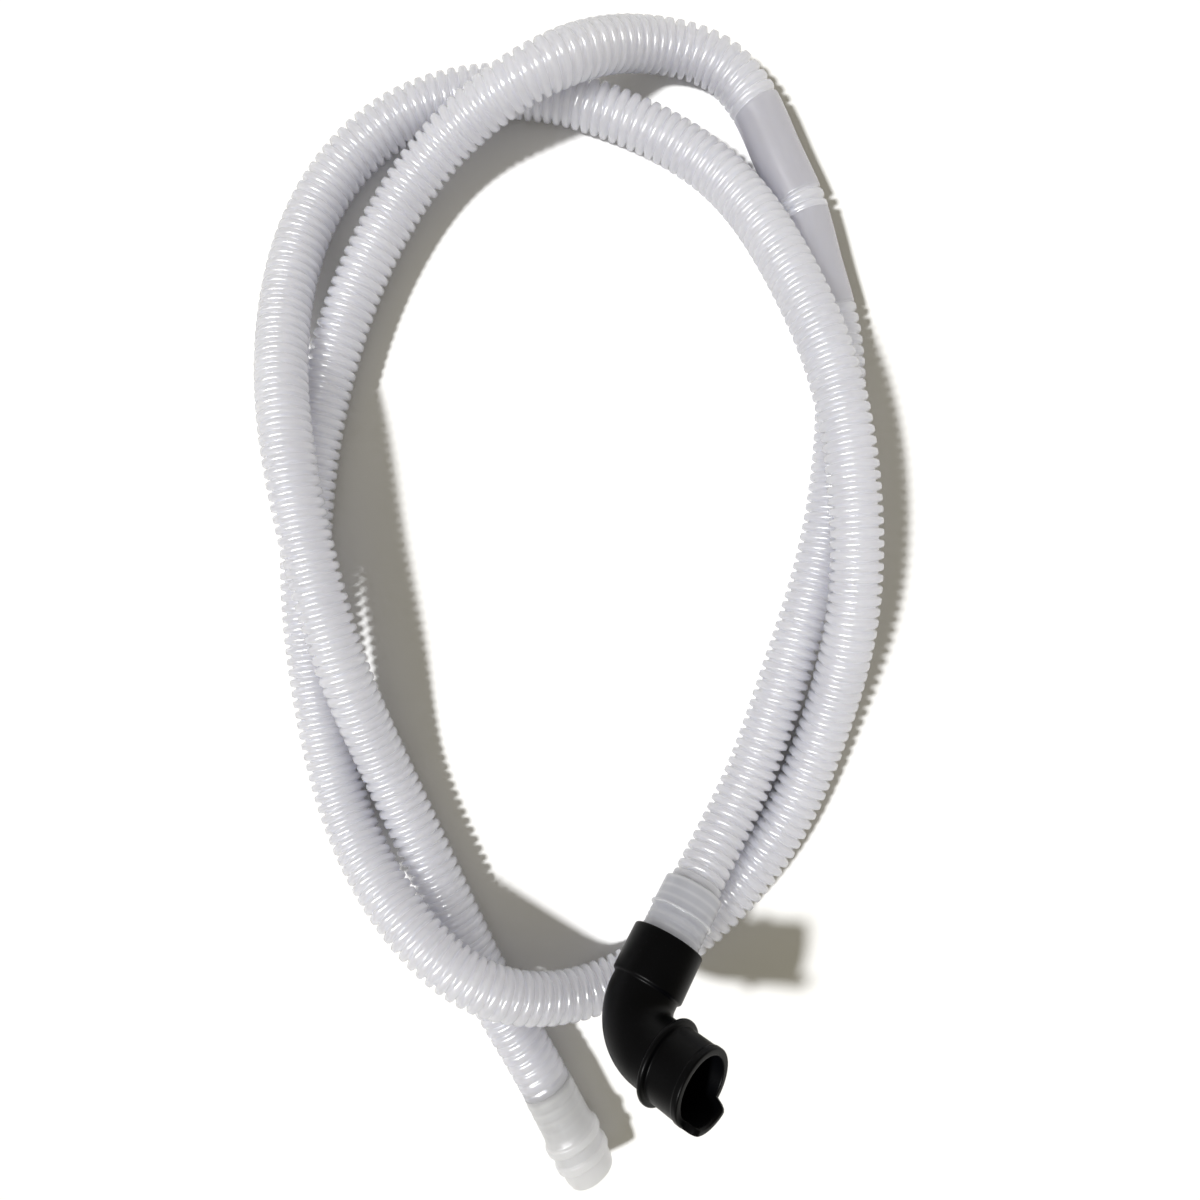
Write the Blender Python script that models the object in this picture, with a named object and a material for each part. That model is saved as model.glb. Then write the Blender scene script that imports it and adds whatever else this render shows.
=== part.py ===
# Dishwasher drain hose: a corrugated plastic tube that lies on the floor in two loops, with a
# moulded cuff at each end and a rubber elbow pushed onto one of them.
# Metres, +Z up, floor at z = 0. The origin lies on the floor under the middle of the two end fittings.
import math

import bmesh
import bpy
import numpy as np
from mathutils import Matrix, Vector

FIT_GAP = 0.0003
EDGE_ROUND = 0.0006
ROUND_SIDES = 48
WELD_DISTANCE = 1e-7
SHARP_ANGLE = math.radians(30.0)

HOSE_OD = 0.0240
CUFF_BORE = 0.0190
HOSE_POINTS = 78
HOSE_END_RUN = 0.0020

# The hose's centreline from the elbow end to the free end, round both loops.
HOSE_ROUTE = [
    (0.0335, 0.0690, 0.0305), (0.0605, 0.1155, 0.0145), (0.0800, 0.1685, 0.0125), (0.0965, 0.2225, 0.0125),
    (0.1050, 0.2785, 0.0125), (0.1022, 0.3360, 0.0125), (0.0946, 0.3635, 0.0125), (0.0870, 0.3905, 0.0125),
    (0.0752, 0.4168, 0.0125), (0.0623, 0.4437, 0.0127), (0.0475, 0.4586, 0.0138), (0.0160, 0.4660, 0.0175),
    (-0.0314, 0.4446, 0.0390), (-0.0799, 0.4193, 0.0240), (-0.1139, 0.3779, 0.0152), (-0.1358, 0.3265, 0.0127),
    (-0.1480, 0.2710, 0.0125), (-0.1515, 0.2150, 0.0125), (-0.1460, 0.1585, 0.0125), (-0.1325, 0.1035, 0.0145),
    (-0.1030, 0.0585, 0.0310), (-0.0585, 0.0245, 0.0370), (-0.0090, 0.0175, 0.0155), (0.0385, 0.0470, 0.0130),
    (0.0755, 0.0900, 0.0125), (0.0970, 0.1420, 0.0170), (0.1060, 0.1960, 0.0320), (0.1050, 0.2525, 0.0380),
    (0.0954, 0.3080, 0.0360), (0.0757, 0.3587, 0.0287), (0.0465, 0.4065, 0.0144), (-0.0020, 0.4355, 0.0126),
    (-0.0575, 0.4470, 0.0125), (-0.1110, 0.4315, 0.0125), (-0.1470, 0.3890, 0.0136), (-0.1576, 0.3345, 0.0245),
    (-0.1530, 0.2815, 0.0370), (-0.1430, 0.2255, 0.0360), (-0.1292, 0.1716, 0.0302), (-0.1113, 0.1197, 0.0160),
    (-0.0880, 0.0675, 0.0128), (-0.0635, 0.0165, 0.0125), (-0.0350, -0.0320, 0.0140),
]

# How the elbow end points: its heading in plan, its rise, and the roll of the mouth about it.
ELBOW_HEADING = math.radians(237.0)
ELBOW_RISE = math.radians(26.2)
ELBOW_ROLL = math.radians(45.4)
FREE_END_HEADING = math.radians(-62.5)

SLEEVE_CUFF_OD = 0.0280
SLEEVE_CUFF_LENGTH = 0.0129
FLANGE_OD = 0.0300
FLANGE_WIDTH = 0.0010
SHOULDER_OD = 0.0278
SHOULDER_LENGTH = 0.0056
SPIGOT_OD = 0.0272
SPIGOT_SHOWN = 0.0060
SPIGOT_DEPTH = 0.0180
SPIGOT_START = SLEEVE_CUFF_LENGTH + FLANGE_WIDTH + SHOULDER_LENGTH

COLLAR_WALL = 0.0028
COLLAR_LENGTH = 0.0214
COLLAR_TO_CORNER = 0.0413
BEND_BORE = 0.0244
BEND_WALL = 0.0031
BEND_RADIUS = 0.0185
BEND_ANGLE = math.radians(83.5)
BEND_CORNER = BEND_RADIUS * math.tan(BEND_ANGLE / 2)
BEND_STEPS = 14
STEP_RUN = 0.0012
CORNER_TO_MOUTH = 0.0426
MOUTH_BORE = 0.0264
MOUTH_BORE_DEPTH = 0.0135
MOUTH_WALL = 0.0028
LIP_HEIGHT = 0.0004
LIP_WIDTH = 0.0032
RIB_HEIGHT = 0.0024
RIB_WIDTH = 0.0030
RIB_SETBACK = 0.0165
TAB_REACH = 0.0052
TAB_START = math.radians(188.0)
TAB_SWEEP = math.radians(84.0)

FREE_CUFF_START_OD = 0.0244
FREE_CUFF_PLAIN_OD = 0.0254
FREE_CUFF_PLAIN = 0.0125
FLARE_LENGTH = 0.0130
FIRST_BARB_OD = 0.0278
BARB_LAND = 0.0010
NECK_OD = 0.0242
NECK_RUN = 0.0050
NECK_TO_SECOND_BARB = 0.0047
SECOND_BARB_OD = 0.0271
TIP_OD = 0.0226
TIP_RUN = 0.0104


def clear_scene():
    for thing in list(bpy.data.objects):
        bpy.data.objects.remove(thing, do_unlink=True)


def plastic(name, colour, roughness):
    material = bpy.data.materials.new(name)
    material.use_nodes = True
    shader = material.node_tree.nodes["Principled BSDF"]
    shader.inputs["Base Color"].default_value = (*colour, 1.0)
    shader.inputs["Roughness"].default_value = roughness
    shader.inputs["Metallic"].default_value = 0.0
    return material


def direction(heading, rise=0.0):
    level = math.cos(rise)
    return Vector((level * math.cos(heading), level * math.sin(heading), math.sin(rise)))


def smooth_curve(points, start_slope, end_slope, count):
    # A cubic spline through the points, with its end slopes given, read at even steps.
    stops = np.array(points)
    spans = np.linalg.norm(np.diff(stops, axis=0), axis=1)
    knots = np.concatenate([[0.0], np.cumsum(spans)])
    last = len(stops) - 1
    system = np.zeros((last + 1, last + 1))
    target = np.zeros((last + 1, 3))
    system[0, 0] = 1.0
    system[last, last] = 1.0
    target[0] = start_slope
    target[last] = end_slope
    for i in range(1, last):
        before = spans[i - 1]
        after = spans[i]
        system[i, i - 1:i + 2] = (after, 2 * (before + after), before)
        rise_in = (stops[i] - stops[i - 1]) / before
        rise_out = (stops[i + 1] - stops[i]) / after
        target[i] = 3 * (after * rise_in + before * rise_out)
    slopes = np.linalg.solve(system, target)
    reads = []
    for place in np.linspace(0.0, knots[last], count):
        i = min(int(np.searchsorted(knots, place, side="right")) - 1, last - 1)
        t = (place - knots[i]) / spans[i]
        reads.append(
            (2 * t**3 - 3 * t**2 + 1) * stops[i]
            + (t**3 - 2 * t**2 + t) * spans[i] * slopes[i]
            + (3 * t**2 - 2 * t**3) * stops[i + 1]
            + (t**3 - t**2) * spans[i] * slopes[i + 1]
        )
    return reads


def add_mesh_piece(name, bm, frame, material):
    bmesh.ops.remove_doubles(bm, verts=bm.verts, dist=WELD_DISTANCE)
    bmesh.ops.recalc_face_normals(bm, faces=bm.faces)
    mesh = bpy.data.meshes.new(name)
    bm.to_mesh(mesh)
    bm.free()
    mesh.materials.append(material)
    mesh.shade_smooth()
    mesh.set_sharp_from_angle(angle=SHARP_ANGLE)
    piece = bpy.data.objects.new(name, mesh)
    piece.matrix_world = frame
    bpy.context.scene.collection.objects.link(piece)
    return piece


def turned_piece(name, section, frame, material):
    # The closed section is (distance along the axis, radius) pairs, spun about the frame's Z.
    bm = bmesh.new()
    corners = [bm.verts.new((radius, 0.0, distance)) for distance, radius in section]
    sides = [bm.edges.new(pair) for pair in zip(corners, corners[1:] + corners[:1])]
    bmesh.ops.spin(
        bm,
        geom=corners + sides,
        cent=(0.0, 0.0, 0.0),
        axis=(0.0, 0.0, 1.0),
        angle=2 * math.pi,
        steps=ROUND_SIDES,
        use_merge=True,
    )
    return add_mesh_piece(name, bm, frame, material)


def frame_along(origin, axis, side):
    # A placed frame with its Z along the axis and its X towards the side.
    across = axis.cross(side).normalized()
    frame = Matrix((across.cross(axis), across, axis)).transposed().to_4x4()
    frame.translation = origin
    return frame


def build_hose(material):
    curve = bpy.data.curves.new("hose", "CURVE")
    curve.dimensions = "3D"
    curve.bevel_depth = HOSE_OD / 2
    curve.bevel_resolution = 4
    curve.use_fill_caps = True
    start_slope = -direction(ELBOW_HEADING, ELBOW_RISE)
    end_slope = direction(FREE_END_HEADING)
    reads = smooth_curve(HOSE_ROUTE, start_slope, end_slope, HOSE_POINTS)
    # A short straight run squares each end face to its cuff.
    reads.insert(1, reads[0] + np.array(start_slope) * HOSE_END_RUN)
    reads.insert(-1, reads[-1] - np.array(end_slope) * HOSE_END_RUN)
    path = curve.splines.new("POLY")
    path.points.add(len(reads) - 1)
    for point, read in zip(path.points, reads):
        point.co = (*read, 1.0)
    curve.materials.append(material)
    hose = bpy.data.objects.new("hose", curve)
    bpy.context.scene.collection.objects.link(hose)


def elbow_end_frame(distance):
    # The frame on the elbow end's axis, a distance beyond the hose's own end.
    axis = direction(ELBOW_HEADING, ELBOW_RISE)
    level = Vector((0.0, 0.0, 1.0)).cross(axis).normalized()
    side = level * math.cos(ELBOW_ROLL) + axis.cross(level) * math.sin(ELBOW_ROLL)
    return frame_along(Vector(HOSE_ROUTE[0]) + axis * distance, axis, side)


def build_elbow_end_cuff(material):
    flange_start = SLEEVE_CUFF_LENGTH
    flange_end = flange_start + FLANGE_WIDTH
    spigot_end = SPIGOT_START + SPIGOT_SHOWN + SPIGOT_DEPTH
    section = [
        (0.0, CUFF_BORE / 2),
        (0.0, SLEEVE_CUFF_OD / 2 - EDGE_ROUND),
        (EDGE_ROUND, SLEEVE_CUFF_OD / 2),
        (flange_start, SLEEVE_CUFF_OD / 2),
        (flange_start, FLANGE_OD / 2),
        (flange_end, FLANGE_OD / 2),
        (flange_end, SHOULDER_OD / 2),
        (SPIGOT_START, SHOULDER_OD / 2),
        (SPIGOT_START, SPIGOT_OD / 2),
        (spigot_end - EDGE_ROUND, SPIGOT_OD / 2),
        (spigot_end, SPIGOT_OD / 2 - EDGE_ROUND),
        (spigot_end, CUFF_BORE / 2),
    ]
    turned_piece("elbow_end_cuff", section, elbow_end_frame(FIT_GAP), material)


def elbow_sections():
    # The wall's section as a closed run of distance along the bore, radius, and whether the tab moves it.
    bend_start = COLLAR_TO_CORNER - BEND_CORNER
    bend_end = bend_start + BEND_RADIUS * BEND_ANGLE
    bend_stops = [bend_start + (bend_end - bend_start) * i / BEND_STEPS for i in range(BEND_STEPS + 1)]
    face = bend_end + CORNER_TO_MOUTH - BEND_CORNER
    bore_step = face - MOUTH_BORE_DEPTH
    seat = SPIGOT_DEPTH + FIT_GAP
    rib_near = face - RIB_SETBACK
    rib_far = rib_near - RIB_WIDTH
    rib_round = RIB_WIDTH / 4
    lip_start = face - LIP_WIDTH
    collar_inner = SPIGOT_OD / 2 + FIT_GAP
    collar_outer = collar_inner + COLLAR_WALL
    bend_inner = BEND_BORE / 2
    bend_outer = bend_inner + BEND_WALL
    mouth_inner = MOUTH_BORE / 2
    mouth_outer = mouth_inner + MOUTH_WALL
    lip_outer = mouth_outer + LIP_HEIGHT
    rib_outer = mouth_outer + RIB_HEIGHT
    outer = [
        (0.0, collar_outer - EDGE_ROUND, False),
        (EDGE_ROUND, collar_outer, False),
        (COLLAR_LENGTH, collar_outer, False),
        (COLLAR_LENGTH + STEP_RUN, bend_outer, False),
    ]
    outer += [(stop, bend_outer, False) for stop in bend_stops]
    outer += [
        (rib_far, bend_outer, False),
        (rib_far, rib_outer - rib_round, False),
        (rib_far + rib_round, rib_outer, False),
        (rib_near - rib_round, rib_outer, False),
        (rib_near, rib_outer - rib_round, False),
        (rib_near, mouth_outer, False),
        (lip_start, mouth_outer, False),
        (lip_start + EDGE_ROUND, lip_outer, False),
        (face - EDGE_ROUND, lip_outer, True),
        (face, lip_outer - EDGE_ROUND, True),
    ]
    inner = [
        (face, mouth_inner + EDGE_ROUND, True),
        (face - EDGE_ROUND, mouth_inner, True),
        (bore_step + STEP_RUN, mouth_inner, False),
        (bore_step, bend_inner, False),
    ]
    inner += [(stop, bend_inner, False) for stop in reversed(bend_stops)]
    inner += [
        (seat, bend_inner, False),
        (seat, collar_inner, False),
        (EDGE_ROUND, collar_inner, False),
        (0.0, collar_inner + EDGE_ROUND, False),
    ]
    return outer + inner


def elbow_axis(distance):
    # Centre, heading and inward side of the elbow's bore in its own frame: along Z, then round towards X.
    bend_start = COLLAR_TO_CORNER - BEND_CORNER
    turned = min(max((distance - bend_start) / BEND_RADIUS, 0.0), BEND_ANGLE)
    heading = Vector((math.sin(turned), 0.0, math.cos(turned)))
    inward = Vector((math.cos(turned), 0.0, -math.sin(turned)))
    centre = Vector((BEND_RADIUS, 0.0, bend_start)) - inward * BEND_RADIUS
    straight = min(distance - bend_start, 0.0) + max(distance - bend_start - BEND_RADIUS * BEND_ANGLE, 0.0)
    return centre + heading * straight, heading, inward


def tab_reach(angle):
    past_start = (angle - TAB_START) % (2 * math.pi)
    return TAB_REACH if past_start <= TAB_SWEEP else 0.0


def build_elbow(material):
    bm = bmesh.new()
    across = Vector((0.0, 1.0, 0.0))
    angles = [2 * math.pi * i / ROUND_SIDES for i in range(ROUND_SIDES)]
    rings = []
    for distance, radius, at_face in elbow_sections():
        centre, heading, inward = elbow_axis(distance)
        ring = []
        for angle in angles:
            reach = tab_reach(angle) if at_face else 0.0
            spoke = inward * math.cos(angle) + across * math.sin(angle)
            ring.append(bm.verts.new(centre + spoke * radius + heading * reach))
        rings.append(ring)
    for ring, following in zip(rings, rings[1:] + rings[:1]):
        for i in range(ROUND_SIDES):
            j = (i + 1) % ROUND_SIDES
            bm.faces.new((ring[i], ring[j], following[j], following[i]))
    add_mesh_piece("elbow", bm, elbow_end_frame(FIT_GAP + SPIGOT_START + SPIGOT_SHOWN), material)


def build_free_end_cuff(material):
    first_barb = FREE_CUFF_PLAIN + FLARE_LENGTH
    neck = first_barb + NECK_RUN
    second_barb = neck + NECK_TO_SECOND_BARB
    tip = second_barb + TIP_RUN
    section = [
        (0.0, CUFF_BORE / 2),
        (0.0, FREE_CUFF_START_OD / 2),
        (FREE_CUFF_PLAIN, FREE_CUFF_PLAIN_OD / 2),
        (first_barb - BARB_LAND, FIRST_BARB_OD / 2),
        (first_barb, FIRST_BARB_OD / 2),
        (neck, NECK_OD / 2),
        (second_barb - BARB_LAND, SECOND_BARB_OD / 2),
        (second_barb, SECOND_BARB_OD / 2),
        (tip - EDGE_ROUND, TIP_OD / 2),
        (tip, TIP_OD / 2 - EDGE_ROUND),
        (tip, CUFF_BORE / 2),
    ]
    axis = direction(FREE_END_HEADING)
    start = Vector(HOSE_ROUTE[-1]) + axis * FIT_GAP
    frame = frame_along(start, axis, Vector((0.0, 0.0, 1.0)))
    turned_piece("free_end_cuff", section, frame, material)


clear_scene()
build_hose(plastic("hose_plastic", (0.66, 0.67, 0.70), 0.35))
build_elbow_end_cuff(plastic("elbow_end_cuff_plastic", (0.64, 0.65, 0.69), 0.35))
build_elbow(plastic("elbow_rubber", (0.012, 0.012, 0.014), 0.5))
build_free_end_cuff(plastic("free_end_cuff_plastic", (0.72, 0.73, 0.74), 0.5))
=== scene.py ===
import math

import bmesh
import bpy
import numpy as np
from mathutils import Matrix, Vector


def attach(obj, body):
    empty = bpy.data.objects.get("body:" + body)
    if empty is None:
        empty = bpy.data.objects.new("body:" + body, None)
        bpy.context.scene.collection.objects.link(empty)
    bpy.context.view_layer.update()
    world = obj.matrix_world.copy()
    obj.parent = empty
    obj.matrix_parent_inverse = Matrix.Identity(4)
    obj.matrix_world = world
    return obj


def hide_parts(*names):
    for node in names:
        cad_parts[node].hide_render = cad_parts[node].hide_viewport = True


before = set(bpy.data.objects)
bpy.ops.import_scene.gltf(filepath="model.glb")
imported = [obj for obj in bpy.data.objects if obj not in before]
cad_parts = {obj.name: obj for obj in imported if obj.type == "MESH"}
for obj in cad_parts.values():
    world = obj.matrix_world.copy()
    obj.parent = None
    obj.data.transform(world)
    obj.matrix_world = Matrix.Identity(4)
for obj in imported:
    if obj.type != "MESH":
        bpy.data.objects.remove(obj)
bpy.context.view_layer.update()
print("frame loaded")


# camera, looking straight down on the loops as they lie on the floor
photoCamera = {
    "lens": 26.0,
    "sensorWidth": 36.0,
    "place": (-0.0100, 0.2020, 0.4300),
}


def addCamera():
    data = bpy.data.cameras.new("photoCamera")
    data.lens = photoCamera["lens"]
    data.sensor_width = photoCamera["sensorWidth"]
    data.clip_start = 0.01
    camera = bpy.data.objects.new("photoCamera", data)
    camera.location = photoCamera["place"]
    bpy.context.scene.collection.objects.link(camera)
    bpy.context.scene.camera = camera


addCamera()
print("camera placed")


# small helpers for node trees and meshes
def link(tree, source, target):
    tree.links.new(source, target)


def setInputs(node, values):
    for name, value in values.items():
        node.inputs[name].default_value = value


def newMaterial(name):
    material = bpy.data.materials.new(name)
    material.use_nodes = True
    tree = material.node_tree
    return material, tree, tree.nodes["Principled BSDF"]


def colourRamp(tree, factor, stops):
    ramp = tree.nodes.new("ShaderNodeValToRGB")
    elements = ramp.color_ramp.elements
    while len(elements) < len(stops):
        elements.new(0.5)
    for element, (place, colour) in zip(elements, stops):
        element.position = place
        element.color = (*colour, 1.0)
    link(tree, factor, ramp.inputs["Fac"])
    return ramp.outputs["Color"]


def mixColour(tree, factor, first, second):
    node = tree.nodes.new("ShaderNodeMix")
    node.data_type = "RGBA"
    link(tree, factor, node.inputs["Factor"])
    for name, value in (("A", first), ("B", second)):
        if isinstance(value, bpy.types.NodeSocket):
            link(tree, value, node.inputs[name])
        else:
            node.inputs[name].default_value = (*value, 1.0)
    return node.outputs["Result"]


def attributeOf(tree, name):
    node = tree.nodes.new("ShaderNodeAttribute")
    node.attribute_name = name
    return node


def bump(tree, height, strength, distance):
    node = tree.nodes.new("ShaderNodeBump")
    setInputs(node, {"Strength": strength, "Distance": distance})
    link(tree, height, node.inputs["Height"])
    return node.outputs["Normal"]


def direction(heading, rise=0.0):
    level = math.cos(math.radians(rise))
    angle = math.radians(heading)
    return Vector((level * math.cos(angle), level * math.sin(angle), math.sin(math.radians(rise))))


def meshObject(name, mesh, material):
    piece = bpy.data.objects.new(name, mesh)
    mesh.materials.clear()
    mesh.materials.append(material)
    bpy.context.scene.collection.objects.link(piece)
    return piece


# shader group: how blown plastic varies along and round a piece, as a cloudy mask and a fine grain
def makeCloudGroup():
    group = bpy.data.node_groups.new("plasticCloud", "ShaderNodeTree")
    for name, default in (("Cloud Scale", 40.0), ("Grain Scale", 900.0)):
        socket = group.interface.new_socket(name, in_out="INPUT", socket_type="NodeSocketFloat")
        socket.default_value = default
    group.interface.new_socket("Cloud", in_out="OUTPUT", socket_type="NodeSocketFloat")
    group.interface.new_socket("Grain", in_out="OUTPUT", socket_type="NodeSocketFloat")
    start = group.nodes.new("NodeGroupInput")
    end = group.nodes.new("NodeGroupOutput")
    coords = group.nodes.new("ShaderNodeTexCoord").outputs["Object"]
    for scaleName, outName, detail in (("Cloud Scale", "Cloud", 4.0), ("Grain Scale", "Grain", 2.0)):
        texture = group.nodes.new("ShaderNodeTexNoise")
        setInputs(texture, {"Detail": detail, "Roughness": 0.55})
        link(group, coords, texture.inputs["Vector"])
        link(group, start.outputs[scaleName], texture.inputs["Scale"])
        link(group, texture.outputs["Fac"], end.inputs[outName])
    return group


cloudGroup = makeCloudGroup()


def addCloud(tree, look):
    node = tree.nodes.new("ShaderNodeGroup")
    node.node_tree = cloudGroup
    setInputs(node, {"Cloud Scale": look["cloudScale"], "Grain Scale": look["grainScale"]})
    return node.outputs["Cloud"], node.outputs["Grain"]


def finishSurface(tree, shader, colour, grain, look):
    link(tree, colour, shader.inputs["Base Color"])
    setInputs(shader, {"Roughness": look["roughness"], "Specular IOR Level": look["specular"]})
    link(tree, bump(tree, grain, look["grainStrength"], look["grainDepth"]), shader.inputs["Normal"])


def scatterLight(shader, look):
    setInputs(shader, {"Subsurface Weight": 1.0, "Subsurface Scale": look["scatterDepth"]})
    shader.inputs["Subsurface Radius"].default_value = look["scatterColour"]


# hose: a corrugated tube that follows its centreline through both loops
hose = {
    "diameter": 0.0240,
    "grooveDiameter": 0.0192,
    "plainDiameter": 0.0234,
    "pitch": 0.0050,
    "sides": 27,
    # one ridge from groove to groove: share of the pitch, share of the ridge's height
    "ridge": (
        (0.00, 0.00), (0.10, 0.06), (0.18, 0.66), (0.28, 0.95),
        (0.50, 1.00), (0.72, 0.95), (0.82, 0.66), (0.90, 0.06),
    ),
    "plainStretches": ((0.2900, 0.3360), (0.3460, 0.3945)),
    "elbowFade": 0.004,
    "freeFade": 0.070,
    "freeDepth": 0.12,        # share of the ridges' height that is left at the free end
    "elbowHeading": 237.0,
    "elbowRise": 26.2,
    "freeHeading": -62.5,
    "samples": 900,
    "route": (
        (0.0335, 0.0690, 0.0305), (0.0605, 0.1155, 0.0145), (0.0800, 0.1685, 0.0125), (0.0965, 0.2225, 0.0125),
        (0.1050, 0.2785, 0.0125), (0.1022, 0.3360, 0.0125), (0.0946, 0.3635, 0.0125), (0.0870, 0.3905, 0.0125),
        (0.0752, 0.4168, 0.0125), (0.0623, 0.4437, 0.0127), (0.0475, 0.4586, 0.0138), (0.0160, 0.4660, 0.0175),
        (-0.0314, 0.4446, 0.0390), (-0.0799, 0.4193, 0.0240), (-0.1139, 0.3779, 0.0152), (-0.1358, 0.3265, 0.0127),
        (-0.1480, 0.2710, 0.0125), (-0.1515, 0.2150, 0.0125), (-0.1460, 0.1585, 0.0125), (-0.1325, 0.1035, 0.0145),
        (-0.1030, 0.0585, 0.0310), (-0.0585, 0.0245, 0.0370), (-0.0090, 0.0175, 0.0155), (0.0385, 0.0470, 0.0130),
        (0.0755, 0.0900, 0.0125), (0.0970, 0.1420, 0.0170), (0.1060, 0.1960, 0.0320), (0.1050, 0.2525, 0.0380),
        (0.0954, 0.3080, 0.0360), (0.0757, 0.3587, 0.0287), (0.0465, 0.4065, 0.0144), (-0.0020, 0.4355, 0.0126),
        (-0.0575, 0.4470, 0.0125), (-0.1110, 0.4315, 0.0125), (-0.1470, 0.3890, 0.0136), (-0.1576, 0.3345, 0.0245),
        (-0.1530, 0.2815, 0.0370), (-0.1430, 0.2255, 0.0360), (-0.1292, 0.1716, 0.0302), (-0.1113, 0.1197, 0.0160),
        (-0.0880, 0.0675, 0.0128), (-0.0635, 0.0165, 0.0125), (-0.0350, -0.0320, 0.0140),
    ),
}
hoseLook = {
    "cloudScale": 26.0,
    "grainScale": 1500.0,
    "crestDark": (0.585, 0.59, 0.66),
    "crestPale": (0.655, 0.66, 0.73),
    # painted light: grooves coloured lighter than the crests, painting out the shade that falls in them and
    # painting in light that shines through their thin walls
    "groove": (0.73, 0.735, 0.80),
    # plain stretches: a thinner, clearer wall; part of its darker colour is painted shade, the shaded floor seen
    # through that wall
    "plain": (0.475, 0.475, 0.535),
    "roughness": 0.22,
    "specular": 0.9,
    "scatterDepth": 0.030,
    "scatterColour": (1.0, 0.97, 0.90),
    "grainStrength": 0.06,
    "grainDepth": 0.0002,
}


def smoothRoute():
    stops = np.array(hose["route"])
    spans = np.linalg.norm(np.diff(stops, axis=0), axis=1)
    knots = np.concatenate([[0.0], np.cumsum(spans)])
    last = len(stops) - 1
    system = np.eye(last + 1)
    target = np.zeros((last + 1, 3))
    target[0] = -direction(hose["elbowHeading"], hose["elbowRise"])
    target[last] = direction(hose["freeHeading"])
    for i in range(1, last):
        before = spans[i - 1]
        after = spans[i]
        system[i, i - 1:i + 2] = (after, 2 * (before + after), before)
        riseIn = (stops[i] - stops[i - 1]) / before
        riseOut = (stops[i + 1] - stops[i]) / after
        target[i] = 3 * (after * riseIn + before * riseOut)
    slopes = np.linalg.solve(system, target)
    points = []
    for place in np.linspace(0.0, knots[last], hose["samples"]):
        i = min(int(np.searchsorted(knots, place, side="right")) - 1, last - 1)
        t = (place - knots[i]) / spans[i]
        points.append(
            (2 * t**3 - 3 * t**2 + 1) * stops[i]
            + (t**3 - 2 * t**2 + t) * spans[i] * slopes[i]
            + (3 * t**2 - 2 * t**3) * stops[i + 1]
            + (t**3 - t**2) * spans[i] * slopes[i + 1]
        )
    return points


def routeCurve(points):
    curve = bpy.data.curves.new("hoseRoute", "CURVE")
    curve.dimensions = "3D"
    spline = curve.splines.new("POLY")
    spline.points.add(len(points) - 1)
    for place, point in zip(spline.points, points):
        place.co = (*point, 1.0)
    return curve


# a small builder, so that each line of the tree below reads as one step
class NodeSteps:
    def __init__(self, tree):
        self.tree = tree

    def add(self, kind, inputs=None, **settings):
        node = self.tree.nodes.new(kind)
        for name, value in settings.items():
            setattr(node, name, value)
        for name, value in (inputs or {}).items():
            self.feed(node.inputs[name], value)
        return node

    def feed(self, socket, value):
        if isinstance(value, bpy.types.NodeSocket):
            self.tree.links.new(value, socket)
        else:
            socket.default_value = value

    def math(self, operation, *values):
        node = self.tree.nodes.new("ShaderNodeMath")
        node.operation = operation
        for socket, value in zip(node.inputs, values):
            self.feed(socket, value)
        return node.outputs[0]

    def curveThrough(self, value, stops):
        node = self.tree.nodes.new("ShaderNodeFloatCurve")
        curve = node.mapping.curves[0]
        curve.points[0].location = stops[0]
        curve.points[1].location = stops[-1]
        for stop in stops[1:-1]:
            curve.points.new(*stop)
        for point in curve.points:
            point.handle_type = "VECTOR"
        node.mapping.update()
        self.feed(node.inputs["Value"], value)
        return node.outputs[0]


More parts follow.
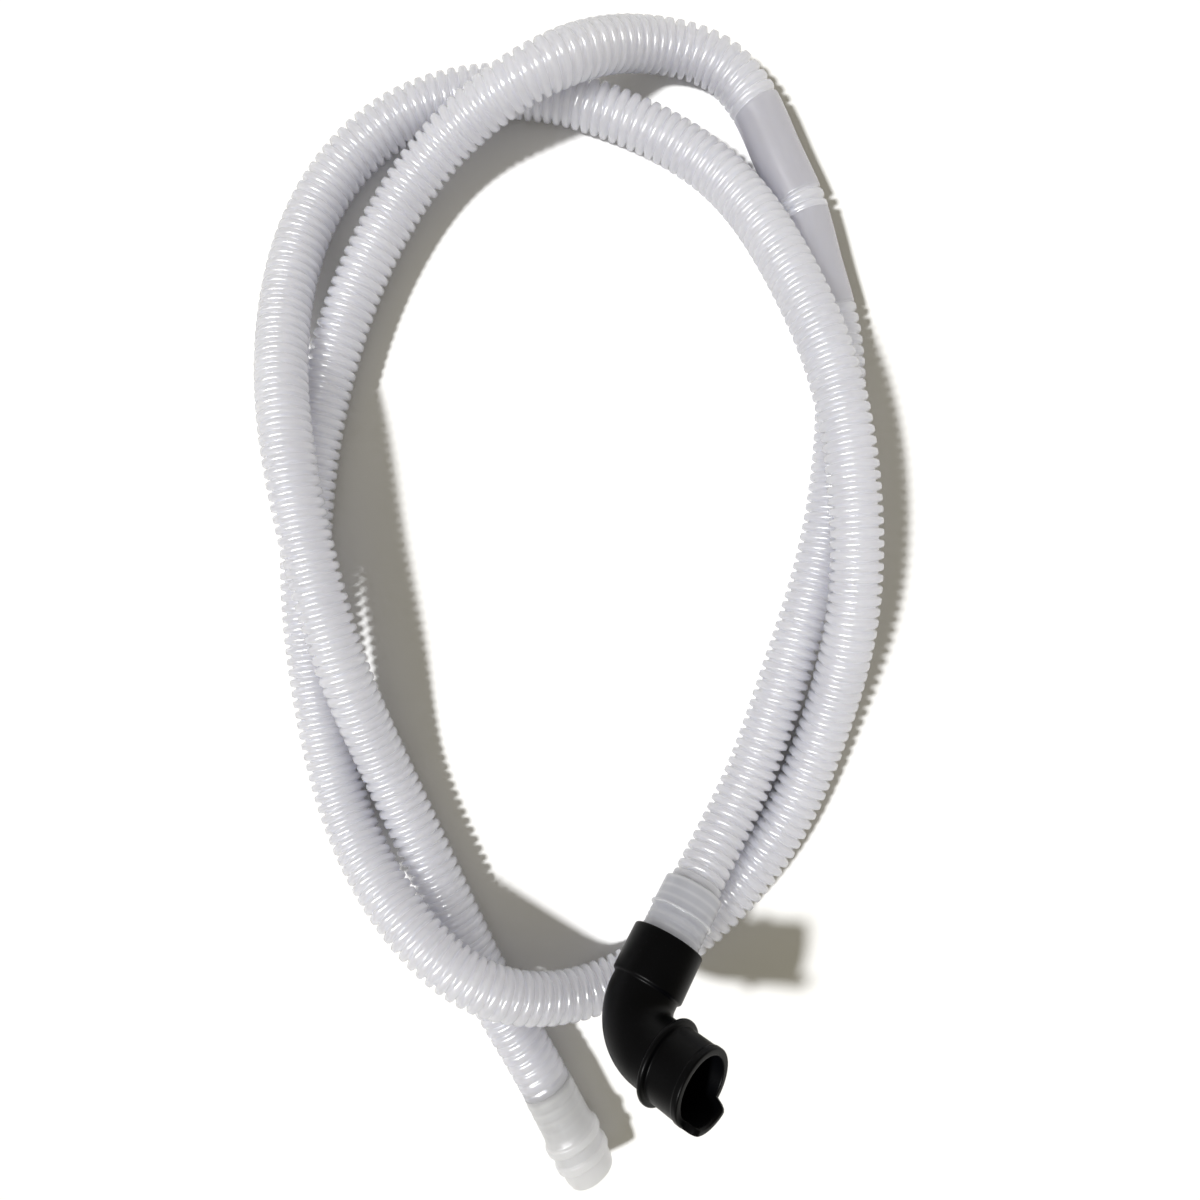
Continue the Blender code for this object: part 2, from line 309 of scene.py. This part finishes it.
def makeHoseTree(material):
    tree = bpy.data.node_groups.new("corrugatedHose", "GeometryNodeTree")
    tree.interface.new_socket("Geometry", in_out="INPUT", socket_type="NodeSocketGeometry")
    sizes = ("Pitch", "Groove Radius", "Ridge Radius", "Plain Radius", "Elbow Fade", "Free Fade", "Free Depth")
    plainEnds = ("First Plain Start", "First Plain End", "Second Plain Start", "Second Plain End")
    for name in sizes + plainEnds:
        tree.interface.new_socket(name, in_out="INPUT", socket_type="NodeSocketFloat")
    tree.interface.new_socket("Sides", in_out="INPUT", socket_type="NodeSocketInt")
    tree.interface.new_socket("Geometry", in_out="OUTPUT", socket_type="NodeSocketGeometry")
    steps = NodeSteps(tree)
    given = tree.nodes.new("NodeGroupInput").outputs
    ringsPerRidge = len(hose["ridge"])

    # one mesh point for each ring, set along the route at its own place in its ridge
    length = steps.add("GeometryNodeCurveLength", {"Curve": given["Geometry"]}).outputs["Length"]
    ridges = steps.math("FLOOR", steps.math("DIVIDE", length, given["Pitch"]))
    rings = steps.math("ADD", steps.math("MULTIPLY", ridges, ringsPerRidge), 1.0)
    line = steps.add("GeometryNodeMeshLine", {"Count": rings})
    index = steps.add("GeometryNodeInputIndex").outputs["Index"]
    ridgeNumber = steps.math("FLOOR", steps.math("DIVIDE", index, float(ringsPerRidge)))
    step = steps.math("DIVIDE", steps.math("FLOORED_MODULO", index, float(ringsPerRidge)), float(ringsPerRidge))
    shares = [i / ringsPerRidge for i in range(ringsPerRidge)]
    placeStops = [(share, place) for share, (place, height) in zip(shares, hose["ridge"])] + [(1.0, 1.0)]
    heightStops = [(share, height) for share, (place, height) in zip(shares, hose["ridge"])] + [(1.0, 0.0)]
    phase = steps.curveThrough(step, placeStops)
    height = steps.curveThrough(step, heightStops)
    fitPitch = steps.math("DIVIDE", length, ridges)
    along = steps.math("MULTIPLY", steps.math("ADD", ridgeNumber, phase), fitPitch)
    sample = steps.add("GeometryNodeSampleCurve", {"Curves": given["Geometry"]}, mode="LENGTH", use_all_curves=True)
    steps.feed(sample.inputs["Length"], along)
    placed = steps.add("GeometryNodeSetPosition", {"Geometry": line.outputs["Mesh"]})
    steps.feed(placed.inputs["Position"], sample.outputs["Position"])

    # the ridges fade towards both ends and stop along the two plain stretches
    elbowFade = steps.math("MINIMUM", steps.math("DIVIDE", along, given["Elbow Fade"]), 1.0)
    toEnd = steps.math("SUBTRACT", length, along)
    freeFade = steps.math("MINIMUM", steps.math("DIVIDE", toEnd, given["Free Fade"]), 1.0)
    freeRise = steps.math("MULTIPLY", freeFade, steps.math("SUBTRACT", 1.0, given["Free Depth"]))
    fade = steps.math("MULTIPLY", elbowFade, steps.math("ADD", given["Free Depth"], freeRise))
    plain = None
    for name in ("First", "Second"):
        after = steps.math("GREATER_THAN", along, given[name + " Plain Start"])
        before = steps.math("LESS_THAN", along, given[name + " Plain End"])
        inside = steps.math("MULTIPLY", after, before)
        plain = inside if plain is None else steps.math("MAXIMUM", plain, inside)
    rise = steps.math("SUBTRACT", given["Ridge Radius"], given["Groove Radius"])
    grooveDepth = steps.math("MULTIPLY", steps.math("SUBTRACT", 1.0, height), fade)
    ridged = steps.math("SUBTRACT", given["Ridge Radius"], steps.math("MULTIPLY", rise, grooveDepth))
    drop = steps.math("MULTIPLY", plain, steps.math("SUBTRACT", ridged, given["Plain Radius"]))
    radius = steps.math("SUBTRACT", ridged, drop)
    # how deep each ring lies in a groove, none along the plain stretches: used only as the mask for the grooves'
    # painted light
    groove = steps.math("MULTIPLY", grooveDepth, steps.math("SUBTRACT", 1.0, plain))

    marked = placed.outputs["Geometry"]
    stored = (("groove", groove), ("along", along), ("plain", plain), ("ringRadius", radius))
    for name, value in stored:
        store = steps.add("GeometryNodeStoreNamedAttribute", {"Geometry": marked, "Name": name}, domain="POINT")
        steps.feed(store.inputs["Value"], value)
        marked = store.outputs["Geometry"]
    path = steps.add("GeometryNodeMeshToCurve", {"Mesh": marked})
    ringRadius = steps.add("GeometryNodeInputNamedAttribute", {"Name": "ringRadius"}, data_type="FLOAT")
    ring = steps.add("GeometryNodeCurvePrimitiveCircle", {"Resolution": given["Sides"], "Radius": 1.0})
    tube = steps.add("GeometryNodeCurveToMesh", {"Curve": path.outputs["Curve"]})
    steps.feed(tube.inputs["Profile Curve"], ring.outputs["Curve"])
    steps.feed(tube.inputs["Scale"], ringRadius.outputs["Attribute"])
    steps.feed(tube.inputs["Fill Caps"], True)
    real = steps.add("GeometryNodeRealizeInstances", {"Geometry": tube.outputs["Mesh"]})
    finished = steps.add("GeometryNodeSetMaterial", {"Geometry": real.outputs["Geometry"]})
    steps.feed(finished.inputs["Material"], material)
    end = tree.nodes.new("NodeGroupOutput")
    steps.feed(end.inputs["Geometry"], finished.outputs["Geometry"])
    return tree


def giveInputs(modifier, values):
    for item in modifier.node_group.interface.items_tree:
        if item.in_out == "INPUT" and item.name in values:
            modifier[item.identifier] = values[item.name]


def meshFromNodes(name, source, tree, values, material):
    modifier = source.modifiers.new("build", "NODES")
    modifier.node_group = tree
    giveInputs(modifier, values)
    depsgraph = bpy.context.evaluated_depsgraph_get()
    mesh = bpy.data.meshes.new_from_object(source.evaluated_get(depsgraph), depsgraph=depsgraph)
    source.modifiers.remove(modifier)
    bpy.data.objects.remove(source, do_unlink=True)
    mesh.name = name
    return meshObject(name, mesh, material)


def makeHosePlastic():
    material, tree, shader = newMaterial("hosePlastic")
    cloud, grain = addCloud(tree, hoseLook)
    crest = colourRamp(tree, cloud, ((0.35, hoseLook["crestDark"]), (0.65, hoseLook["crestPale"])))
    # painted light in the grooves: a lighter colour where the rings lie deep, against the shade that falls there
    ridged = mixColour(tree, attributeOf(tree, "groove").outputs["Fac"], crest, hoseLook["groove"])
    # darker plain stretches: the thinner wall's own tone, partly painted shade of the floor seen through it
    colour = mixColour(tree, attributeOf(tree, "plain").outputs["Fac"], ridged, hoseLook["plain"])
    scatterLight(shader, hoseLook)
    finishSurface(tree, shader, colour, grain, hoseLook)
    return material


def buildHose():
    points = smoothRoute()
    source = bpy.data.objects.new("hoseRoute", routeCurve(points))
    bpy.context.scene.collection.objects.link(source)
    material = makeHosePlastic()
    values = {
        "Pitch": hose["pitch"],
        "Groove Radius": hose["grooveDiameter"] / 2,
        "Ridge Radius": hose["diameter"] / 2,
        "Plain Radius": hose["plainDiameter"] / 2,
        "Elbow Fade": hose["elbowFade"],
        "Free Fade": hose["freeFade"],
        "Free Depth": hose["freeDepth"],
        "First Plain Start": hose["plainStretches"][0][0],
        "First Plain End": hose["plainStretches"][0][1],
        "Second Plain Start": hose["plainStretches"][1][0],
        "Second Plain End": hose["plainStretches"][1][1],
        "Sides": hose["sides"],
    }
    piece = meshFromNodes("corrugated_hose", source, makeHoseTree(material), values, material)
    for polygon in piece.data.polygons:
        polygon.use_smooth = True
    print("hose:", len(piece.data.polygons), "faces")
    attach(piece, "root")
    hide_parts("hose")


# turned and swept pieces: a closed wall section of (distance along, radius, rounding), run round its axis
def roundCorners(corners, segments=4):
    points = []
    for i, (distance, radius, rounding) in enumerate(corners):
        corner = Vector((distance, radius))
        before = Vector(corners[i - 1][:2]) - corner
        after = Vector(corners[(i + 1) % len(corners)][:2]) - corner
        cut = min(rounding, before.length * 0.45, after.length * 0.45)
        if cut <= 0.0:
            points.append(corner)
            continue
        start = corner + before.normalized() * cut
        end = corner + after.normalized() * cut
        for step in range(segments + 1):
            t = step / segments
            points.append(start * (1 - t)**2 + corner * 2 * t * (1 - t) + end * t**2)
    return points


def frameAlong(origin, axis, side):
    across = axis.cross(side).normalized()
    placed = Matrix((across.cross(axis), across, axis)).transposed().to_4x4()
    placed.translation = origin
    return placed


def ringsToPiece(name, rings, placed, material, along=None):
    bm = bmesh.new()
    made = [[bm.verts.new(placed @ point) for point in ring] for ring in rings]
    for ring, following in zip(made, made[1:] + made[:1]):
        for i in range(len(ring)):
            j = (i + 1) % len(ring)
            bm.faces.new((ring[i], ring[j], following[j], following[i]))
    bmesh.ops.recalc_face_normals(bm, faces=bm.faces)
    mesh = bpy.data.meshes.new(name)
    bm.to_mesh(mesh)
    bm.free()
    for polygon in mesh.polygons:
        polygon.use_smooth = True
    if along is not None:
        mesh.attributes.new("along", "FLOAT", "POINT").data.foreach_set("value", along)
    return meshObject(name, mesh, material)


def turnedPiece(name, corners, sides, placed, material):
    rings = []
    along = []
    for point in roundCorners(corners):
        angles = [2 * math.pi * i / sides for i in range(sides)]
        rings.append([Vector((point.y * math.cos(a), point.y * math.sin(a), point.x)) for a in angles])
        along += [point.x] * sides
    return ringsToPiece(name, rings, placed, material, along)


def dress(piece, node):
    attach(piece, "root")
    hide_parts(node)


# free end cuff: the hose's ridges run on over it and fade, then two barbs and the tip
freeCuff = {
    "sides": 96,
    "bore": 0.0095,
    "overlap": 0.0014,        # it starts over the hose's last groove, so no seam shows
    "overlapRadius": 0.01205,
    "ridges": 4,
    "ridgePitch": 0.0048,
    "ridgeRadius": 0.0122,
    "ridgeHeight": 0.0002,
    "crestStart": 0.24,
    "crestEnd": 0.78,
    "crestSlope": 0.0001,
    "barbs": (
        (0.0200, 0.0124, 0.0010), (0.0225, 0.0130, 0.0004), (0.0236, 0.0139, 0.0003), (0.0268, 0.0139, 0.0003),
        (0.0277, 0.0129, 0.0003), (0.0322, 0.0126, 0.0003), (0.0330, 0.0135, 0.0003), (0.0362, 0.0135, 0.0003),
        (0.0371, 0.0124, 0.0003), (0.0430, 0.0118, 0.0010), (0.0452, 0.0111, 0.0006), (0.0456, 0.0107, 0.0003),
        (0.0456, 0.0095, 0.0004),
    ),
}
# elbow end cuff: sleeve, flange ring, shoulder and the threaded spigot that lies in the rubber collar
elbowCuff = {
    "sides": 96,
    "sleeve": (
        (0.0000, 0.0095, 0.0002), (0.0000, 0.0140, 0.0008), (0.0129, 0.0140, 0.0003), (0.0129, 0.0150, 0.0003),
        (0.0139, 0.0150, 0.0003), (0.0139, 0.0138, 0.0003),
    ),
    "threadStart": 0.0155,
    "threadPitch": 0.0024,
    "threads": 4,
    "threadRadius": 0.01355,
    "threadHeight": 0.00025,
    "tip": ((0.0435, 0.0136, 0.0006), (0.0435, 0.0095, 0.0004)),
}
fitGap = 0.0003
cuffLook = {
    "cloudScale": 60.0,
    "grainScale": 1800.0,
    "cloudShare": 0.93,
    "bandSharpness": 3.0,
    "specular": 0.6,
    "scatterDepth": 0.020,
    "scatterColour": (1.0, 0.98, 0.94),
    "grainStrength": 0.08,
    "grainDepth": 0.0002,
}
freeCuffLook = {
    "shade": (0.76, 0.765, 0.815),
    "bandShade": (0.82, 0.825, 0.865),
    "bandPitch": 0.0048,
    "bandEnd": 0.0240,
    "roughness": 0.34,
}
elbowCuffLook = {
    "shade": (0.49, 0.50, 0.57),
    "bandShade": (0.60, 0.61, 0.67),
    "bandPitch": 0.0043,
    "bandEnd": 0.0400,
    "roughness": 0.22,
}


def freeCuffSection():
    start = -freeCuff["overlap"]
    corners = [(start, freeCuff["bore"], 0.0002), (start, freeCuff["overlapRadius"], 0.0002)]
    for i in range(freeCuff["ridges"]):
        low = freeCuff["ridgeRadius"] - freeCuff["ridgeHeight"] * (1 - i / freeCuff["ridges"])
        start = i * freeCuff["ridgePitch"]
        near = start + freeCuff["ridgePitch"] * freeCuff["crestStart"]
        far = start + freeCuff["ridgePitch"] * freeCuff["crestEnd"]
        corners.append((start, low, 0.0003))
        corners.append((near, freeCuff["ridgeRadius"], 0.0006))
        corners.append((far, freeCuff["ridgeRadius"] + freeCuff["crestSlope"], 0.0006))
    return corners + list(freeCuff["barbs"])


def elbowCuffSection():
    corners = list(elbowCuff["sleeve"])
    for i in range(elbowCuff["threads"]):
        place = elbowCuff["threadStart"] + i * elbowCuff["threadPitch"]
        crest = elbowCuff["threadRadius"] + elbowCuff["threadHeight"]
        corners.append((place, elbowCuff["threadRadius"], 0.0002))
        corners.append((place + elbowCuff["threadPitch"] / 2, crest, 0.0002))
    return corners + list(elbowCuff["tip"])


def makeCuffPlastic(name, own):
    # translucent plastic with faint bands, strongest at the hose and gone by their end
    look = {**cuffLook, **own}
    material, tree, shader = newMaterial(name)
    cloud, grain = addCloud(tree, look)
    darker = tuple(part * look["cloudShare"] for part in look["shade"])
    body = colourRamp(tree, cloud, ((0.35, darker), (0.65, look["shade"])))
    steps = NodeSteps(tree)
    along = attributeOf(tree, "along").outputs["Fac"]
    turn = steps.math("MULTIPLY", along, 2 * math.pi / look["bandPitch"])
    wave = steps.math("ADD", steps.math("MULTIPLY", steps.math("SINE", turn), 0.5), 0.5)
    fade = steps.math("MAXIMUM", steps.math("SUBTRACT", 1.0, steps.math("DIVIDE", along, look["bandEnd"])), 0.0)
    band = steps.math("MULTIPLY", steps.math("POWER", wave, look["bandSharpness"]), fade)
    scatterLight(shader, look)
    finishSurface(tree, shader, mixColour(tree, band, body, look["bandShade"]), grain, look)
    return material


def buildFreeCuff():
    axis = direction(hose["freeHeading"])
    placed = frameAlong(Vector(hose["route"][-1]) + axis * fitGap, axis, Vector((0.0, 0.0, 1.0)))
    material = makeCuffPlastic("freeCuffPlastic", freeCuffLook)
    piece = turnedPiece("free_cuff", freeCuffSection(), freeCuff["sides"], placed, material)
    dress(piece, "free_end_cuff")
    return piece


def elbowEndFrame(distance):
    axis = direction(hose["elbowHeading"], hose["elbowRise"])
    level = Vector((0.0, 0.0, 1.0)).cross(axis).normalized()
    roll = math.radians(elbow["roll"])
    side = level * math.cos(roll) + axis.cross(level) * math.sin(roll)
    return frameAlong(Vector(hose["route"][0]) + axis * distance, axis, side)


def buildElbowCuff():
    material = makeCuffPlastic("elbowCuffPlastic", elbowCuffLook)
    piece = turnedPiece("elbow_cuff", elbowCuffSection(), elbowCuff["sides"], elbowEndFrame(fitGap), material)
    dress(piece, "elbow_end_cuff")


# elbow: black rubber, a collar, a round bend, a mouth with a rib, a lip and a tab on one side of it
elbow = {
    "roll": 45.4,
    "start": 0.0258,          # from the hose's end to the collar's rim
    "sides": 96,
    "collarOuter": 0.0167,
    "collarBore": 0.0139,
    "collarLength": 0.0214,
    "seat": 0.0183,
    "collarToCorner": 0.0413,
    "bendAngle": 83.5,
    "bendRadius": 0.0185,
    "bendOuter": 0.0153,
    "bendBore": 0.0122,
    "bendSteps": 24,
    "cornerToMouth": 0.0426,
    "ribOuter": 0.0184,
    "ribSetback": 0.0165,
    "ribWidth": 0.0030,
    "mouthOuter": 0.0160,
    "mouthBore": 0.0132,
    "mouthBoreDepth": 0.0135,
    "lipOuter": 0.0164,
    "lipWidth": 0.0032,
    "tabReach": 0.0052,
    "tabStart": 188.0,
    "tabSweep": 84.0,
    "tabRound": 12.0,
    "tabRoot": 0.0020,        # how far behind the lip's face the tab starts
}
rubberLook = {
    "cloudScale": 45.0,
    "grainScale": 1600.0,
    "dark": (0.0012, 0.0013, 0.0018),
    "pale": (0.0020, 0.0021, 0.0028),
    "roughness": 0.34,
    "specular": 0.10,
    "grainStrength": 0.25,
    "grainDepth": 0.0002,
}


def elbowStops():
    angle = math.radians(elbow["bendAngle"])
    toCorner = elbow["bendRadius"] * math.tan(angle / 2)
    bendStart = elbow["collarToCorner"] - toCorner
    bendEnd = bendStart + elbow["bendRadius"] * angle
    return bendStart, bendEnd, bendEnd + elbow["cornerToMouth"] - toCorner


def elbowAxis(distance):
    start, end, face = elbowStops()
    radius = elbow["bendRadius"]
    turned = min(max((distance - start) / radius, 0.0), math.radians(elbow["bendAngle"]))
    heading = Vector((math.sin(turned), 0.0, math.cos(turned)))
    inward = Vector((math.cos(turned), 0.0, -math.sin(turned)))
    centre = Vector((radius, 0.0, start)) - inward * radius
    straight = min(distance - start, 0.0) + max(distance - end, 0.0)
    return centre + heading * straight, heading, inward


def elbowSection():
    bendStart, bendEnd, face = elbowStops()
    ribNear = face - elbow["ribSetback"]
    ribFar = ribNear - elbow["ribWidth"]
    lipStart = face - elbow["lipWidth"]
    boreStep = face - elbow["mouthBoreDepth"]
    outer = [
        (0.0000, elbow["collarOuter"], 0.0010), (elbow["collarLength"], elbow["collarOuter"], 0.0008),
        (elbow["collarLength"] + 0.0010, elbow["bendOuter"], 0.0006),
        (ribFar, elbow["bendOuter"], 0.0006), (ribFar + 0.0003, elbow["ribOuter"], 0.0013),
        (ribNear - 0.0003, elbow["ribOuter"], 0.0013), (ribNear, elbow["mouthOuter"], 0.0006),
        (lipStart, elbow["mouthOuter"], 0.0003), (lipStart + 0.0005, elbow["lipOuter"], 0.0004),
        (face, elbow["lipOuter"], 0.0008),
    ]
    inner = [
        (face, elbow["mouthBore"], 0.0006), (boreStep + 0.0010, elbow["mouthBore"], 0.0004),
        (boreStep, elbow["bendBore"], 0.0004), (elbow["seat"], elbow["bendBore"], 0.0002),
        (elbow["seat"], elbow["collarBore"], 0.0002), (0.0000, elbow["collarBore"], 0.0005),
    ]
    points = roundCorners(outer + inner)
    # steps round the bend, so that its outline is round
    stops = [bendStart + (bendEnd - bendStart) * i / elbow["bendSteps"] for i in range(elbow["bendSteps"] + 1)]
    full = []
    for point, following in zip(points, points[1:] + points[:1]):
        full.append(point)
        low, high = sorted((point.x, following.x))
        between = [stop for stop in stops if low + 1e-5 < stop < high - 1e-5]
        if following.x < point.x:
            between.reverse()
        for stop in between:
            share = (stop - point.x) / (following.x - point.x)
            full.append(point.lerp(following, share))
    return full


def tabReach(degrees):
    into = (degrees - elbow["tabStart"]) % 360.0
    edge = min(into, elbow["tabSweep"] - into)
    if edge < 0.0:
        return 0.0
    rise = min(edge / elbow["tabRound"], 1.0)
    return elbow["tabReach"] * math.sqrt(1.0 - (1.0 - rise)**2)


def makeElbowRubber():
    material, tree, shader = newMaterial("elbowRubber")
    cloud, grain = addCloud(tree, rubberLook)
    dust = colourRamp(tree, cloud, ((0.35, rubberLook["dark"]), (0.70, rubberLook["pale"])))
    finishSurface(tree, shader, dust, grain, rubberLook)
    return material


def buildElbow():
    across = Vector((0.0, 1.0, 0.0))
    face = elbowStops()[2]
    tabRoot = face - elbow["tabRoot"]
    rings = []
    for point in elbowSection():
        centre, heading, inward = elbowAxis(point.x)
        shift = min(max((point.x - tabRoot) / (face - tabRoot), 0.0), 1.0)
        ring = []
        for i in range(elbow["sides"]):
            degrees = 360.0 * i / elbow["sides"]
            angle = math.radians(degrees)
            spoke = inward * math.cos(angle) + across * math.sin(angle)
            ring.append(centre + spoke * point.y + heading * (shift * tabReach(degrees)))
        rings.append(ring)
    piece = ringsToPiece("rubber_elbow", rings, elbowEndFrame(elbow["start"]), makeElbowRubber())
    dress(piece, "elbow")


farFitting = buildFreeCuff()
buildHose()
print("hose and free end cuff built")
buildElbowCuff()
buildElbow()
print("elbow and its cuff built")


# floor and light
studio = {
    "floorSize": 6.0,
    "floorColour": (0.80, 0.80, 0.80),
    "floorSeen": (1.0, 1.0, 1.0),
    "keyHeading": 16.0,      # the way that the light travels over the floor
    "keyRise": 56.0,
    "keyAngle": 5.5,
    "keyStrength": 3.15,
    "hoseKeyStrength": 1.25,
    "hoseFillRise": 90.0,
    "hoseFillAngle": 170.0,
    "hoseFillStrength": 0.50,
    "hoseGlowHeading": 196.0,
    "hoseGlowRise": 58.0,
    "hoseGlowAngle": 150.0,
    "hoseGlowStrength": 0.98,
    "shineLength": 1.6,
    "shineWidth": 0.10,
    "shineDistance": 1.6,
    "shineRise": 60.0,
    "shinePower": 42.0,
    "ambientColour": (1.0, 0.93, 0.72),
    "ambientStrength": 0.25,
}


def addFloor():
    bm = bmesh.new()
    bmesh.ops.create_grid(bm, x_segments=1, y_segments=1, size=studio["floorSize"] / 2)
    mesh = bpy.data.meshes.new("floor")
    bm.to_mesh(mesh)
    bm.free()
    material, tree, shader = newMaterial("floorPaper")
    path = tree.nodes.new("ShaderNodeLightPath")
    mix = tree.nodes.new("ShaderNodeMix")
    mix.data_type = "RGBA"
    link(tree, path.outputs["Is Camera Ray"], mix.inputs["Factor"])
    mix.inputs["A"].default_value = (*studio["floorColour"], 1.0)
    mix.inputs["B"].default_value = (*studio["floorSeen"], 1.0)
    link(tree, mix.outputs["Result"], shader.inputs["Base Color"])
    setInputs(shader, {"Roughness": 1.0, "Specular IOR Level": 0.0})
    floor = meshObject("floor", mesh, material)
    return floor


def addLamp(name, data, heading, rise, lit):
    lamp = bpy.data.objects.new(name, data)
    travel = direction(heading, -rise)
    lamp.rotation_euler = travel.to_track_quat("-Z", "Y").to_euler()
    bpy.context.scene.collection.objects.link(lamp)
    receivers = bpy.data.collections.new(name + "Receivers")
    for thing in lit:
        receivers.objects.link(thing)
    lamp.light_linking.receiver_collection = receivers
    return lamp


def addSun(name, heading, rise, angle, strength, lit, shadow):
    data = bpy.data.lights.new(name, "SUN")
    data.energy = strength
    data.angle = math.radians(angle)
    data.use_shadow = shadow
    addLamp(name, data, heading, rise, lit)


def addShine(lit):
    # a tall strip that only shows as the short highlights across the ridges
    data = bpy.data.lights.new("hoseShine", "AREA")
    data.shape = "RECTANGLE"
    data.size = studio["shineWidth"]
    data.size_y = studio["shineLength"]
    data.energy = studio["shinePower"]
    lamp = addLamp("hoseShine", data, studio["keyHeading"], studio["shineRise"], lit)
    centre = Vector((photoCamera["place"][0], photoCamera["place"][1], 0.0))
    lamp.location = centre - direction(studio["keyHeading"], -studio["shineRise"]) * studio["shineDistance"]
    lamp.visible_diffuse = False


def addWorld():
    world = bpy.data.worlds.new("studioWorld")
    bpy.context.scene.world = world
    world.use_nodes = True
    tree = world.node_tree
    tree.nodes.clear()
    path = tree.nodes.new("ShaderNodeLightPath")
    ambient = tree.nodes.new("ShaderNodeBackground")
    setInputs(ambient, {"Color": (*studio["ambientColour"], 1.0), "Strength": studio["ambientStrength"]})
    seen = tree.nodes.new("ShaderNodeBackground")
    setInputs(seen, {"Color": (1.0, 1.0, 1.0, 1.0), "Strength": 1.0})
    either = tree.nodes.new("ShaderNodeMath")
    either.operation = "MAXIMUM"
    link(tree, path.outputs["Is Camera Ray"], either.inputs[0])
    link(tree, path.outputs["Is Transmission Ray"], either.inputs[1])
    mix = tree.nodes.new("ShaderNodeMixShader")
    link(tree, either.outputs[0], mix.inputs["Fac"])
    link(tree, ambient.outputs["Background"], mix.inputs[1])
    link(tree, seen.outputs["Background"], mix.inputs[2])
    output = tree.nodes.new("ShaderNodeOutputWorld")
    link(tree, mix.outputs["Shader"], output.inputs["Surface"])


floor = addFloor()
pale = [bpy.data.objects[name] for name in ("corrugated_hose", "free_cuff", "elbow_cuff")]
dark = [floor, bpy.data.objects["rubber_elbow"]]
suns = (
    ("keyLight", "keyHeading", "keyRise", "keyAngle", "keyStrength", dark, True),
    ("hoseKey", "keyHeading", "keyRise", "keyAngle", "hoseKeyStrength", pale, True),
    ("hoseFill", "keyHeading", "hoseFillRise", "hoseFillAngle", "hoseFillStrength", pale, True),
    ("hoseGlow", "hoseGlowHeading", "hoseGlowRise", "hoseGlowAngle", "hoseGlowStrength", pale, False),
)
for name, heading, rise, angle, strength, lit, shadow in suns:
    addSun(name, studio[heading], studio[rise], studio[angle], studio[strength], lit, shadow)
addShine(pale)
addWorld()
bpy.context.scene.view_settings.view_transform = "Standard"
print("floor and lights placed")
